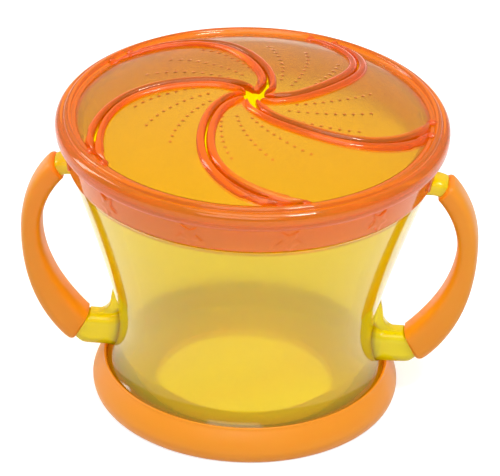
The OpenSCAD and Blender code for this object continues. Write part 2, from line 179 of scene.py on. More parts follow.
def addNode(tree, kind, settings=(), links=()):
    # settings are (name or input, value); links are (input, output socket)
    node = tree.nodes.new(kind)
    for key, value in dict(settings).items():
        if isinstance(key, str) and hasattr(node, key):
            setattr(node, key, value)
        else:
            node.inputs[key].default_value = value
    for key, source in dict(links).items():
        tree.links.new(source, node.inputs[key])
    return node


def newMaterial(name):
    material = bpy.data.materials.new(name)
    material.use_nodes = True
    material.node_tree.nodes.clear()
    return material, material.node_tree


def mouldedSurface(tree, f):
    # a bump from noise as wide as the finish's grain, and a broad noise that moves the roughness
    place = addNode(tree, "ShaderNodeTexCoord")
    grain = addNode(tree, "ShaderNodeTexNoise", {"Scale": 1 / f["grain"], "Detail": 2},
                    {"Vector": place.outputs["Object"]})
    patches = addNode(tree, "ShaderNodeTexNoise", {"Scale": 1 / f["patch"], "Detail": 3},
                      {"Vector": place.outputs["Object"]})
    low, high = f["rough"]
    rough = addNode(tree, "ShaderNodeMapRange", {"From Min": 0.3, "From Max": 0.7,
                                                 "To Min": low, "To Max": high},
                    {"Value": patches.outputs[0]})
    bump = addNode(tree, "ShaderNodeBump", {"Strength": 1, "Distance": f["depth"]},
                   {"Height": grain.outputs[0]})
    return {"Roughness": rough.outputs[0], "Normal": bump.outputs["Normal"]}


def plastic(name, finish, settings, links=None, absorbs=None, lets=None):
    # a Principled shader with this finish and these sockets; absorbs is (colour, depth) of a clear
    # plastic, where depth is how far light goes until a colour it lacks is down to about a third,
    # and lets is the colour of the lamp light that one surface lets through to what is behind
    material, tree = newMaterial(name)
    sources = {**mouldedSurface(tree, finish), **(links(tree) if links else {})}
    shader = addNode(tree, "ShaderNodeBsdfPrincipled", settings, sources)
    if lets:
        path = addNode(tree, "ShaderNodeLightPath")
        clear = addNode(tree, "ShaderNodeBsdfTransparent", {"Color": lets})
        shader = addNode(tree, "ShaderNodeMixShader", (), {0: path.outputs["Is Shadow Ray"],
                                                           1: shader.outputs[0], 2: clear.outputs[0]})
    out = addNode(tree, "ShaderNodeOutputMaterial", (), {"Surface": shader.outputs[0]})
    if absorbs:
        volume = addNode(tree, "ShaderNodeVolumeAbsorption",
                         {"Color": absorbs[0], "Density": 1 / absorbs[1]})
        tree.links.new(volume.outputs[0], out.inputs["Volume"])
    return material


# How each surface was made: widths of its bump's grain and of its patches of unlike gloss. Polished
# moulds leave a faint long swell, and the satin of the soft parts is a grain of about 0.15 mm,
# drawn three times as coarse so that it shows
finishes = {
    "polished": {"grain": 9 * mm, "depth": 0.012 * mm, "patch": 14 * mm, "rough": (0.05, 0.12)},
    "soft": {"grain": 5 * mm, "depth": 0.015 * mm, "patch": 8 * mm, "rough": (0.07, 0.16)},
    "satin": {"grain": 0.45 * mm, "depth": 0.02 * mm, "patch": 7 * mm, "rough": (0.34, 0.46)},
}

# How clear the cup is: its attribute "thick" is 0 on the wall, 1 on the arms and footValue in the foot
cupClearness = {"footValue": -0.28, "inFoot": 0.85, "inArms": 0.35}


def throughCup(tree):
    # the thick arms and webs are milkier than the wall, and the foot is clearer
    thick = addNode(tree, "ShaderNodeAttribute", {"attribute_name": "thick"})
    clear = addNode(tree, "ShaderNodeMapRange", {"From Min": cupClearness["footValue"],
                                                 "To Min": cupClearness["inFoot"],
                                                 "To Max": cupClearness["inArms"]},
                    {"Value": thick.outputs["Fac"]})
    return {"Transmission Weight": clear.outputs[0]}


# Clear yellow polypropylene, polished mould: sharp highlights, a little milky, and it stains
# what is behind it
cupPlastic = plastic("clear_yellow_polypropylene", finishes["polished"], {
    "Base Color": hexColour("F0EA00"), "IOR": 1.49, "Specular IOR Level": 0.3}, throughCup,
    absorbs=((0.95, 0.88, 0.0, 1), 2 * mm), lets=(1.0, 0.98, 0.5, 1))

# Clear orange polypropylene, polished mould: deep orange, and red where light crosses it lengthways
lidPlastic = plastic("clear_orange_polypropylene", finishes["polished"], {
    "Base Color": hexColour("E8A000"), "IOR": 1.49, "Specular IOR Level": 0.25,
    "Transmission Weight": 0.74}, absorbs=((0.995, 0.7, 0.0, 1), 2 * mm), lets=(1.0, 0.84, 0.3, 1))


def membraneColour(tree):
    # the raised beads and dots are a deeper orange than the thin sheet, and milkier
    bead = addNode(tree, "ShaderNodeAttribute", {"attribute_name": "bead"}).outputs["Fac"]
    colour = addNode(tree, "ShaderNodeMix", {"data_type": "RGBA", 6: hexColour("EACE00"),
                                             7: hexColour("F28800")}, {0: bead})
    clear = addNode(tree, "ShaderNodeMapRange", {"To Min": 0.93, "To Max": 0.78}, {"Value": bead})
    return {"Base Color": colour.outputs[2], "Transmission Weight": clear.outputs[0]}


# Clear soft thermoplastic elastomer, polished mould: the flaps' golden sheet with a softer gloss
# than the hard ring's, and their orange beads
membraneSoft = plastic("clear_orange_elastomer", finishes["soft"], {
    "IOR": 1.45, "Specular IOR Level": 0.25}, membraneColour,
    absorbs=((0.995, 0.74, 0.0, 1), 1.6 * mm), lets=(1.0, 0.95, 0.4, 1))

# Soft thermoplastic elastomer moulded over the handles and round the foot: opaque satin with
# broad dull highlights, and a little light that comes back out of its skin
softOrange = plastic("satin_orange_elastomer", finishes["satin"], {
    "Base Color": hexColour("E28E18"), "IOR": 1.48, "Specular IOR Level": 0.4,
    "Subsurface Weight": 0.3, "Subsurface Radius": (1.0, 0.5, 0.15), "Subsurface Scale": 1.5 * mm})


# Cup: wall, handle frames and webs
cupSizes = {
    "shoulderR": 46 * mm, "shoulderZ": 66.2 * mm,   # widest line, under the lid
    "waistR": 33 * mm, "waistZ": 18.5 * mm,         # narrowest line
    "footR": 36 * mm, "footTop": 8.4 * mm,          # flare into the foot ring
    "wall": 1.8 * mm, "floor": 2 * mm, "ledge": 1.6 * mm,
    "snapOut": 0.55 * mm, "snapDown": 1.1 * mm,     # rib that holds the lid
    "snapHalf": 0.9 * mm, "snapRound": 0.5 * mm, "snapFoot": 0.2 * mm,
    "floorCorner": 3 * mm, "innerFoot": 31.8 * mm,
    "edgeRound": 0.6 * mm,                          # bottom edge and both edges of the mouth
    "ledgeRound": 0.4 * mm, "shoulderRound": 0.15 * mm,
    "proudFull": 1.2 * mm, "footFade": 4 * mm,      # where the milky arms and the clear foot begin
}


def bezier(p, t):
    # (1-t)^3 p0 + 3(1-t)^2 t p1 + 3(1-t) t^2 p2 + t^3 p3
    t = t[:, None]
    p = np.array(p)
    return ((1 - t) ** 3 * p[0] + 3 * (1 - t) ** 2 * t * p[1]
            + 3 * (1 - t) * t * t * p[2] + t ** 3 * p[3])


def wallCurve(s, inset):
    # outer wall from the foot to the waist and on to the shoulder, moved in by inset
    lower = bezier([[s["footR"], s["footTop"]], [s["footR"] - 2 * mm, s["footTop"] + 2 * mm],
                    [s["waistR"], s["waistZ"] - 4.5 * mm], [s["waistR"], s["waistZ"]]],
                   np.linspace(0, 1, 16))
    upper = bezier([[s["waistR"], s["waistZ"]], [s["waistR"], mix(s["waistZ"], s["shoulderZ"], 0.18)],
                    [mix(s["waistR"], s["shoulderR"], 0.43), mix(s["waistZ"], s["shoulderZ"], 0.52)],
                    [s["shoulderR"], s["shoulderZ"]]], np.linspace(0, 1, 48)[1:])
    return np.concatenate([lower, upper]) - [inset, 0]


def cupProfile(s):
    # (r, z) from the middle of the underside out, up the wall, over the mouth and down the inside
    bottom, top = cupLow[2], cupHigh[2]
    neck, snapZ, floorZ = s["shoulderR"] - s["ledge"], top - s["snapDown"], bottom + s["floor"]
    outer = rounded([(0, bottom, 0), (s["footR"], bottom, s["edgeRound"]),
                     (s["footR"], s["footTop"] - 0.4 * mm, 0)], 5)
    ledge = rounded([(s["shoulderR"], s["shoulderZ"] - 0.5 * mm, 0),
                     (s["shoulderR"], s["shoulderZ"] + 0.1 * mm, s["shoulderRound"]),
                     (neck, s["shoulderZ"] + 0.2 * mm, s["ledgeRound"]),
                     (neck, snapZ - s["snapHalf"], s["snapFoot"]),
                     (neck + s["snapOut"], snapZ, s["snapRound"]),
                     (neck, snapZ + s["snapHalf"], s["snapFoot"]),
                     (neck, top, s["edgeRound"]), (neck - s["wall"], top, s["edgeRound"]),
                     (neck - s["wall"], s["shoulderZ"], 0)], 5)[1:]
    inner = wallCurve(s, s["wall"])
    heights = inner[:, 1]
    inner = inner[(heights > s["waistZ"] - 6 * mm) & (heights < s["shoulderZ"] - 1 * mm)][::-1]
    a = np.linspace(0, -np.pi / 2, 9)
    corner = np.stack([s["innerFoot"] - s["floorCorner"] + s["floorCorner"] * np.cos(a),
                       floorZ + s["floorCorner"] * (1 + np.sin(a))], -1)
    return np.concatenate([outer, wallCurve(s, 0), ledge, inner, corner, [[0, floorZ]]])


handleSizes = {
    "armZ": 62.9 * mm, "stubZ": 14.8 * mm,                        # heights of the two arms
    "armBendR": 5 * mm, "stubBendR": 6 * mm, "upperR": 25.4 * mm,
    "upperDeg": 39, "lowerDeg": 44, "turnDeg": 19,                # the grip reaches round both bends
    "armH": 4.8 * mm, "armW": 7 * mm, "stubH": 9 * mm,
    "armRoot": 2.4 * mm, "stubRoot": 0.9 * mm,                    # hidden in the wall
    "flare": 1.1 * mm,                                            # where an arm meets the wall
    "topT": 6 * mm, "midT": 5.4 * mm, "endT": 9.2 * mm, "gripW": 9.2 * mm,
    "skin": 1 * mm, "boreGap": 0.05 * mm, "endRound": 0.9 * mm, "square": 0.6,
    "webH": 9.5 * mm, "webOut": 2.4 * mm, "webFillet": 4 * mm, "webT": 3 * mm, "webSquare": 0.3,
    "webTip": 0.3 * mm, "webRoot": 1 * mm, "webDown": 1.2 * mm,   # hidden in the wall and the arm
}
handleSizes["gripX"] = gripHigh[0] - handleSizes["midT"] / 2      # line down the middle of the grip


def arc(centre, radius, fromDeg, toDeg, count):
    # points on a circle in the XZ plane with the angle of the outward normal as third value
    a = np.radians(np.linspace(fromDeg, toDeg, count))
    return np.stack([centre[0] + radius * np.cos(a), centre[1] + radius * np.sin(a), a], -1)


def handlePath(h):
    # a small bend out of the upper arm, two arcs along the grip, a small bend into the lower arm;
    # the grip covers the arcs and part of each bend
    up, low, turn = h["upperDeg"], h["lowerDeg"], h["turnDeg"]
    sinUp, sinLow = np.sin(np.radians([up, low]))
    cosUp, cosLow = np.cos(np.radians([up, low]))
    apex = h["armZ"] - h["armBendR"] * (1 - sinUp) - h["upperR"] * sinUp
    lowerR = (apex - h["stubZ"] - h["stubBendR"] * (1 - sinLow)) / sinLow
    upperC, lowerC = np.array([h["gripX"] - h["upperR"], apex]), np.array([h["gripX"] - lowerR, apex])
    armC = upperC + (h["upperR"] - h["armBendR"]) * np.array([cosUp, sinUp])
    stubC = lowerC + (lowerR - h["stubBendR"]) * np.array([cosLow, -sinLow])
    arm = arc(armC, h["armBendR"], 90, up + turn, 12)[:-1]
    stub = arc(stubC, h["stubBendR"], -low - turn, -90, 12)[1:]
    stretches = [arc(armC, h["armBendR"], up + turn, up, 9), arc(upperC, h["upperR"], up, 0, 30),
                 arc(lowerC, lowerR, 0, -low, 50), arc(stubC, h["stubBendR"], -low, -low - turn, 9)]
    ends = [(h["topT"], h["topT"]), (h["topT"], h["midT"]), (h["midT"], h["endT"]), (h["endT"], h["endT"])]
    thick = [mix(a, b, ease(np.linspace(0, 1, len(p)))) for p, (a, b) in zip(stretches, ends)]
    grip = np.concatenate([p[:-1] for p in stretches] + [stretches[-1][-1:]])
    return arm, grip, stub, np.concatenate([t[:-1] for t in thick] + [thick[-1][-1:]])


def sweep(path, sizes, square, sides=48):
    # a superellipse section on each path point: centre + u along the normal + v along Y,
    # where u and v are the half sizes times the cosine and sine raised to a small power
    a = np.linspace(0, 2 * np.pi, sides, endpoint=False)
    u = np.sign(np.cos(a)) * np.abs(np.cos(a)) ** square * sizes[:, :1]
    v = np.sign(np.sin(a)) * np.abs(np.sin(a)) ** square * sizes[:, 1:]
    x, z, turn = path[:, :1], path[:, 1:2], path[:, 2:]
    return np.stack([x + u * np.cos(turn), v, z + u * np.sin(turn)], -1)


def mirrored(grid, side):
    # the same shape on the +X or, turned half round the axis, on the -X side
    return grid * np.array([side, side, 1])


def handleFrame(h, side):
    # one closed sweep from the wall out along the upper arm, down inside the grip and back
    arm, grip, stub, thick = handlePath(h)
    armRoot = np.array([[cupSizes["shoulderR"] - h["armRoot"], h["armZ"], np.pi / 2]])
    stubRoot = np.array([[cupSizes["waistR"] - h["stubRoot"], h["stubZ"], -np.pi / 2]])
    # each arm gets a small flare where it meets the wall
    toWall = np.linspace(0, 1, 14)[:, None]
    armLine = mix(armRoot, arm[:1], toWall)
    stubLine = mix(stub[-1:], stubRoot, toWall)
    flare = h["flare"] * (1 - ease(toWall * 2.4))
    armSize = np.array([[h["armH"], h["armW"]]]) / 2
    stubSize = np.array([[h["stubH"], h["armW"]]]) / 2
    core = np.stack([thick / 2, 0 * thick + h["gripW"] / 2], -1) - h["skin"]
    widens = ease(np.linspace(0.15, 1.6, len(stub) - 1)[:, None])
    path = np.concatenate([armRoot, armLine, arm[1:], grip, stub[:-1], stubLine, stubRoot])
    sizes = np.concatenate([0 * armSize, armSize + flare, armSize + 0 * arm[1:, :2], core,
                            mix(core[-1:], stubSize, widens),
                            stubSize + flare[::-1], 0 * stubSize])
    grid = mirrored(sweep(path, sizes, h["square"]), side)
    return grid, gridFaces(*grid.shape[:2], wrapColumns=True)


def handleWeb(h, side):
    # a web from the lower arm's top up the wall: its edge is wall + out * (1 - height share^2), and
    # a round fillet below; each row runs from a line hidden in the wall out to that edge
    t = np.concatenate([[0, 0], np.linspace(0, 1, 30)[1:] ** 2])[:, None]
    top, rise = h["stubZ"] + h["stubH"] / 2, h["webH"] * t
    wall = wallCurve(cupSizes, 0)
    wallR = np.interp(top + rise, wall[:, 1], wall[:, 0])
    fillet = h["webFillet"] - np.sqrt(h["webFillet"] ** 2 - np.clip(h["webFillet"] - rise, 0, None) ** 2)
    z = top + rise - np.where(np.arange(len(t)) == 0, h["webDown"], 0)[:, None]
    out = (h["webOut"] + h["webTip"]) * (1 - t ** 2) - h["webTip"]
    edge = np.concatenate([wallR + out + fillet, z], -1)
    root = np.concatenate([wallR - h["webRoot"], z], -1)
    a = np.linspace(0, 2 * np.pi, 24, endpoint=False)
    u = 0.5 + 0.5 * np.sign(np.cos(a)) * np.abs(np.cos(a)) ** h["webSquare"]
    v = np.sign(np.sin(a)) * np.abs(np.sin(a)) ** h["webSquare"] * h["webT"] / 2
    grid = mix(root[:, None], edge[:, None], u[:, None])
    grid = np.stack([grid[..., 0], v + 0 * grid[..., 0], grid[..., 1]], -1)
    ends = grid[[0, -1]].mean(1, keepdims=True) + 0 * grid[[0, -1]]
    grid = mirrored(np.concatenate([ends[:1], grid, ends[1:]]), side)
    return grid, gridFaces(*grid.shape[:2], wrapColumns=True)


handles = [part(handleSizes, side) for part in (handleFrame, handleWeb) for side in (1, -1)]
cupSkin = fuse("cup_shell", [turned(cupProfile(cupSizes), closed=False)] + handles)
cupPoints = pointsOf(cupSkin)
fromAxis = np.hypot(cupPoints[:, 0], cupPoints[:, 1])
wallLine = wallCurve(cupSizes, 0)
proud = fromAxis - np.interp(cupPoints[:, 2], wallLine[:, 1], wallLine[:, 0])
inFoot = 1 - ease((cupPoints[:, 2] - cupSizes["footTop"]) / cupSizes["footFade"])
thickness = mix(ease(proud / cupSizes["proudFull"]), cupClearness["footValue"], inFoot)
addValues(cupSkin, "thick", thickness)
cup = finishPiece("cup_shell", cupSkin, cupPlastic, ["cup"])
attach(cup, "cup_body")


def gripSleeve(h, side):
    # a soft sleeve over the handle's frame: its rows run along the outside, round the end and back
    # along the bore
    _, path, _, thick = handlePath(h)
    along = np.concatenate([[0], np.cumsum(np.hypot(*np.diff(path[:, :2], axis=0).T))])
    length, turn = along[-1], np.linspace(0, np.pi / 2, 8)
    endAt, endIn = h["endRound"] * (1 - np.cos(turn)), h["endRound"] * (1 - np.sin(turn))
    between = np.linspace(0, length, 72)[1:-1]
    outsideAt = np.concatenate([endAt, between, length - endAt[::-1]])
    outsideIn = np.concatenate([endIn, 0 * between, endIn[::-1]])
    order = np.argsort(outsideAt, kind="stable")        # the round ends' rows lie among the others
    boreAt = np.linspace(length, 0, 24)
    at = np.concatenate([outsideAt[order], boreAt])
    inset = np.concatenate([outsideIn[order], 0 * boreAt + h["skin"] - h["boreGap"]])
    rows = np.stack([np.interp(at, along, path[:, i]) for i in range(3)], -1)
    sizes = np.stack([np.interp(at, along, thick) / 2 - inset, h["gripW"] / 2 - inset], -1)
    grid = mirrored(sweep(rows, sizes, h["square"], 64), side)
    return grid, gridFaces(*grid.shape[:2], wrapRows=True, wrapColumns=True)


for where, side in (("right", 1), ("left", -1)):
    sleeve = makePiece(f"grip_sleeve_{where}", [gripSleeve(handleSizes, side)], softOrange,
                       [f"grip_{where}"])
    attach(sleeve, "cup_body")


# Soft foot ring
footSizes = {
    "openR": 22.4 * mm, "floor": 2.2 * mm,          # opening in the middle of its floor
    "bulgeZ": 3 * mm, "edge": 1.6 * mm, "hollow": 1.6,              # widest line, and the curve above it
    "lip": 1 * mm, "lipTop": 0.85 * mm, "lipDown": 0.5 * mm,        # thin lip round the cup
    "lipRound": 0.3 * mm, "lipEdge": 0.25 * mm,
    "mouth": 0.3 * mm, "mouthDown": 0.8 * mm, "gap": 0.1 * mm,      # where the cup goes in
    "openTop": 0.4 * mm, "openBottom": 0.6 * mm,    # roundings of the opening's edges
}


def footProfile(f):
    # a quarter ellipse at the table, a side that runs in faster and faster (share of the height to
    # a power) up to a thin lip, then down the bore and out along the floor
    outR, top, bore = footHigh[0], footHigh[2], cupSizes["footR"] + f["gap"]
    a = np.radians(np.linspace(-90, 0, 14))
    edge = np.stack([outR - f["edge"] * (1 - np.cos(a)), f["bulgeZ"] * (1 + np.sin(a))], -1)
    t = np.linspace(0, 1, 16)[1:]
    side = np.stack([mix(outR, cupSizes["footR"] + f["lip"], t ** f["hollow"]),
                     mix(f["bulgeZ"], top - f["lipDown"], t)], -1)
    lip = rounded([(side[-1, 0], side[-1, 1], 0), (cupSizes["footR"] + f["lipTop"], top, f["lipRound"]),
                   (bore + f["mouth"], top, f["lipEdge"]), (bore, top - f["mouthDown"], f["lipRound"]),
                   (bore, f["floor"], 0), (f["openR"], f["floor"], f["openTop"]),
                   (f["openR"], 0, f["openBottom"]), (outR - f["edge"], 0, 0)], 5)[1:-1]
    return np.concatenate([edge, side, lip])


foot = makePiece("foot_ring", [turned(footProfile(footSizes))], softOrange, ["base_ring"])
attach(foot, "cup_body")


# Lid ring with its row of stars
lidSizes = {
    "skirtH": 7.2 * mm, "skirtT": 1.55 * mm, "skirtIn": 45.3 * mm, "flare": 1.15 * mm,
    "seatZ": 76.8 * mm, "flange": 0.8 * mm, "tongue": 0.8 * mm,     # groove that holds the membrane
    "rimZ": 78.95 * mm, "boreR": 44.8 * mm, "flangeR": 44 * mm, "tongueR": 45.9 * mm,
    "lipIn": 45.1 * mm, "snapZ": 75.4 * mm, "snapDeep": 0.7 * mm,   # lip that catches the cup's rib
    "ridgeIn": 3 * mm, "ridgeHalf": 0.9 * mm,       # raised ridge, in from the rim's widest line
    "edgeRound": 0.25 * mm, "bendRound": 0.3 * mm, "rimRound": 0.9 * mm, "crestRound": 0.8 * mm,
    "fitGap": 0.05 * mm,                            # between the ring and the membrane
    "stars": 12, "starR": 3.8 * mm, "starWaist": 0.5, "starRise": 0.4 * mm, "starDeg": -75,
    "starDown": 0.2 * mm,
}
lidSizes["stepZ"] = ringLow[2] + lidSizes["skirtH"]
lidSizes["tongueZ"] = lidSizes["seatZ"] + lidSizes["flange"]
lidSizes["tongueTop"] = lidSizes["tongueZ"] + lidSizes["tongue"]


def ringProfile(s):
    # up the flared skirt's outside, a step out to the rim, over the ridge (a flat half ellipse), then
    # down past the groove that holds the membrane, the seat on the cup's ledge and the snap lip
    rimR, stepZ, rimZ, top = ringHigh[0], s["stepZ"], s["rimZ"], ringHigh[2]
    skirtOut, recessR, bend = s["skirtIn"] + s["skirtT"], s["tongueR"] + s["snapDeep"], s["bendRound"]
    ridge, ridgeHalf, ridgeFoot = rimR - s["ridgeIn"], s["ridgeHalf"], rimZ + 0.3 * mm
    a = np.radians(np.linspace(20, 160, 15))
    outside = rounded([(s["skirtIn"], ringLow[2], s["edgeRound"]), (skirtOut, ringLow[2], s["edgeRound"]),
                       (skirtOut + s["flare"], stepZ, bend), (rimR - 0.5 * mm, stepZ + 0.1 * mm, 0.5 * mm),
                       (rimR, stepZ + 1.1 * mm, s["rimRound"]), (rimR, rimZ - 1.2 * mm, s["rimRound"]),
                       (rimR - 1 * mm, rimZ, s["crestRound"]),
                       (ridge + ridgeHalf + 0.05 * mm, rimZ, 0.35 * mm),
                       (ridge + ridgeHalf, ridgeFoot, 0)], 7)[:-1]
    crown = np.stack([ridge + (ridgeHalf + 0.02 * mm) * np.cos(a), rimZ + (top - rimZ) * np.sin(a)], -1)
    inside = rounded([(ridge - ridgeHalf, ridgeFoot, 0),
                      (ridge - ridgeHalf - 0.2 * mm, rimZ + 0.05 * mm, bend),
                      (s["boreR"], rimZ, 0.2 * mm), (s["boreR"], s["tongueTop"], 0),
                      (s["tongueR"], s["tongueTop"], 0), (s["tongueR"], s["tongueZ"], 0),
                      (s["flangeR"], s["tongueZ"], 0), (s["flangeR"], s["seatZ"], 0.2 * mm),
                      (recessR, s["seatZ"], 0.4 * mm), (recessR, s["snapZ"] - 0.6 * mm, bend),
                      (s["lipIn"], s["snapZ"] - 1.2 * mm, bend),
                      (s["skirtIn"], s["snapZ"] - 1.8 * mm, bend), (s["skirtIn"], ringLow[2], 0)], 4)[1:-1]
    return np.concatenate([outside, crown, inside])


def starRow(s):
    # a star's edge is a straight line from a point to the next hollow: in polar form
    # R r sin36 / (R sin(36-a) + r sin(a)); rings of that outline rise to a flat top, and each
    # star is laid on the skirt's cone by its arc length and height
    a = np.radians(np.arange(0, 360, 6))
    fold = np.radians(np.abs((np.degrees(a) + 36) % 72 - 36))
    big, small, share = s["starR"], s["starR"] * s["starWaist"], np.radians(36)
    outline = big * small * np.sin(share) / (big * np.sin(share - fold) + small * np.sin(fold))
    size = np.array([0, 0.5, 0.78, 0.87, 0.94, 1, 1, 0])[:, None]
    rise = np.array([1, 1, 0.96, 0.75, 0.35, 0, -1.2, -1.2])[:, None] * s["starRise"]
    aside, up = size * outline * np.sin(a), size * outline * np.cos(a)
    z = np.maximum(s["stepZ"] - s["starDown"] - big + up, ringLow[2] + 0.05 * mm)
    cone = s["skirtIn"] + s["skirtT"] + s["flare"] * (z - ringLow[2]) / s["skirtH"]
    r = cone + rise
    star = np.arange(s["stars"])[:, None, None]
    turn = np.radians(s["starDeg"] + 360 * star / s["stars"]) + aside / cone
    faces = gridFaces(*z.shape, wrapColumns=True) + z.size * star
    return np.stack([r * np.cos(turn), r * np.sin(turn), z + 0 * turn], -1), faces.reshape(-1, 4)


ringSkin = fuse("lid_ring_shell", [turned(ringProfile(lidSizes)), starRow(lidSizes)])
lidRing = finishPiece("lid_ring_shell", ringSkin, lidPlastic, ["lid_ring"])
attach(lidRing, "lid_body")


# Membrane: five sectors, each a flap and the part of the border it bends from
membraneSizes = {
    "flaps": 5, "sheet": 1 * mm, "domePower": 3.2, "domeH": 6.2 * mm,
    "beadH": 1 * mm, "beadW": 2.2 * mm, "beadEnd": 1.2 * mm, "beadFade": 0.8 * mm,
    "slitGap": 0.35 * mm, "midGap": 1.8 * mm, "endGap": 0.6 * mm,   # widths along a slit
    "midL": 7 * mm, "endL": 8 * mm, "hubR": 2.9 * mm,
    "border": 2.3 * mm,                             # from a slit's end to the lid ring
    "startDeg": 105, "leadDeg": 246, "easeDeg": -326, "curlDeg": 188,   # a slit's spiral
    "edgeSoft": 0.06 * mm,                          # height at which a bead has all its colour
    "bendWidth": 3 * mm, "bendOut": 0.2 * mm,       # stretch over which a flap bends, and its start
    "nubR": 45.2 * mm, "nubL": 3.6 * mm, "nubSunk": 0.4 * mm,       # rounded bead ends on the ring
    "dotR": 0.5 * mm, "dotH": 0.1 * mm, "dotFirst": 11.5 * mm, "dotStep": 2.05 * mm, "dotCount": 10,
    "dotRows": (0.16, 0.43, 0.70),                  # places across a flap, 0 to 1
    "crownLift": 0.75,                              # height of the bead's own dots, share of the bead
}
slitEndR = lidSizes["boreR"] - membraneSizes["border"]
sectorAngle = 2 * np.pi / membraneSizes["flaps"]


def domeZ(r, m=membraneSizes):
    # edge height + rise * (1 - (r / edge radius)^power)
    return lidSizes["rimZ"] + m["domeH"] * (1 - (np.clip(r, 0, None) / lidSizes["boreR"]) ** m["domePower"])


def slitAngle(r, m=membraneSizes):
    # a slit's spiral: its angle is a cubic of the radius's share of the bore's
    t = r / lidSizes["boreR"]
    return np.radians(m["startDeg"] + t * (m["leadDeg"] + t * (m["easeDeg"] + t * m["curlDeg"])))


def across(r, width, m=membraneSizes):
    # the angle that a width measured square to the slit takes up at radius r
    t = r / lidSizes["boreR"]
    slope = np.radians(t * (m["leadDeg"] + t * (2 * m["easeDeg"] + t * 3 * m["curlDeg"])))
    return width * np.sqrt(1 + slope ** 2) / r


def halfGap(r, m=membraneSizes):
    # wide in the middle, narrow along the slit, wide at its end and closed round beyond it
    opening = (m["slitGap"] + (m["midGap"] - m["slitGap"]) * (1 - ease((r - m["hubR"]) / m["midL"]))
               + (m["endGap"] - m["slitGap"]) * ease((r - slitEndR + m["endL"]) / m["endL"])) / 2
    beyond = np.clip((r - slitEndR) / (m["endGap"] / 2), 0, 1)
    return opening * np.sqrt(1 - beyond ** 2)


def sectorEdges(r):
    # angles of a flap's two edges, and the angle its beads take up, at most 0.3 of the flap
    low = slitAngle(r) + across(r, halfGap(r))
    high = slitAngle(r) + sectorAngle - across(r, halfGap(r))
    return low, high, np.minimum(across(r, membraneSizes["beadW"]), 0.3 * (high - low))


def sectorShell(m):
    # rows follow the radius; across each row a half-round bead, the plain sheet, and a bead
    edgeR = lidSizes["boreR"] - lidSizes["fitGap"]
    r = np.concatenate([mix(m["hubR"], m["hubR"] + m["beadEnd"], np.linspace(0, 1, 9) ** 1.6),
                        np.linspace(m["hubR"] + 1.6 * mm, slitEndR - 0.3 * mm, 110),
                        np.linspace(slitEndR, slitEndR + 1.2 * mm, 14),
                        edgeR - np.array([0.6, 0.3, 0.1, 0]) * mm])[:, None]
    low, high, wide = sectorEdges(r)
    u = (1 - np.cos(np.linspace(0, np.pi, 15))) / 2
    flat = np.linspace(0, 1, 26)[1:-1]
    angle = np.concatenate([low + wide * u, mix(low + wide, high - wide, flat), high - wide * u[::-1]], 1)
    hump = np.sqrt(np.clip(1 - (2 * u - 1) ** 2, 0, 1))
    toHub = 1 - np.clip((r - m["hubR"]) / m["beadEnd"], 0, 1)
    toRing = np.clip((r - edgeR + m["beadFade"]) / m["beadFade"], 0, 1)
    ends = np.sqrt(np.clip(1 - toHub ** 2, 0, 1)) * np.sqrt(np.clip(1 - toRing ** 2, 0, 1))
    bead = np.concatenate([hump, 0 * flat, hump[::-1]])[None] * ends
    top = domeZ(r) + m["beadH"] * bead
    under = domeZ(r) - m["sheet"] + 0 * angle
    angle = np.concatenate([angle, angle[:, ::-1]], 1)
    z = np.concatenate([top, under], 1)
    grid = np.stack([r * np.cos(angle), r * np.sin(angle), z], -1)
    rows, columns = z.shape
    j = np.arange(columns // 2 - 1)
    cap = np.stack([j, j + 1, columns - 2 - j, columns - 1 - j], -1)
    faces = np.concatenate([gridFaces(rows, columns, wrapColumns=True), cap, cap + (rows - 1) * columns])
    return grid, faces


def dotShells(m):
    # low round dots in curved rows along the flap, and one row on the crown of its second bead; a
    # dot is a few rings round its own centre, laid on the dome, that rise to a blunt top
    r = m["dotFirst"] + m["dotStep"] * np.arange(m["dotCount"])
    low, high, wide = sectorEdges(r)
    rows = [mix(slitAngle(r), slitAngle(r) + sectorAngle, share) for share in m["dotRows"]]
    angle = np.concatenate(rows + [high - wide / 2])
    lift = np.repeat([0] * len(rows) + [m["crownLift"] * m["beadH"]], m["dotCount"])[:, None, None]
    r = np.tile(r, len(rows) + 1)
    size = np.array([0, 0.5, 0.85, 1, 0])[None, :, None] * m["dotR"]
    rise = np.array([1, 0.8, 0.35, -0.2, -0.5])[None, :, None] * m["dotH"]
    a = np.linspace(0, 2 * np.pi, 10, endpoint=False)[None, None]
    x = (r * np.cos(angle))[:, None, None] + size * np.cos(a)
    y = (r * np.sin(angle))[:, None, None] + size * np.sin(a)
    z = domeZ(np.hypot(x, y)) + rise + lift
    faces = gridFaces(*z[0].shape, wrapColumns=True) + z[0].size * np.arange(len(r))[:, None, None]
    return np.stack([x, y, z], -1), faces.reshape(-1, 4)


def turnedBy(points, angle):
    # points turned about the Z axis
    c, s = np.cos(angle), np.sin(angle)
    return points @ np.array([[c, s, 0], [-s, c, 0], [0, 0, 1]])


# The straight line a flap bends along: from the end of its first slit, square onto its second
def rootError(d):
    return d - slitEndR * np.cos(slitAngle(d) + sectorAngle - slitAngle(slitEndR))


nearD, farD = slitEndR / 2, slitEndR * 0.9
for halving in range(40):
    halfway = (nearD + farD) / 2
    nearD, farD = (nearD, halfway) if rootError(halfway) > 0 else (halfway, farD)

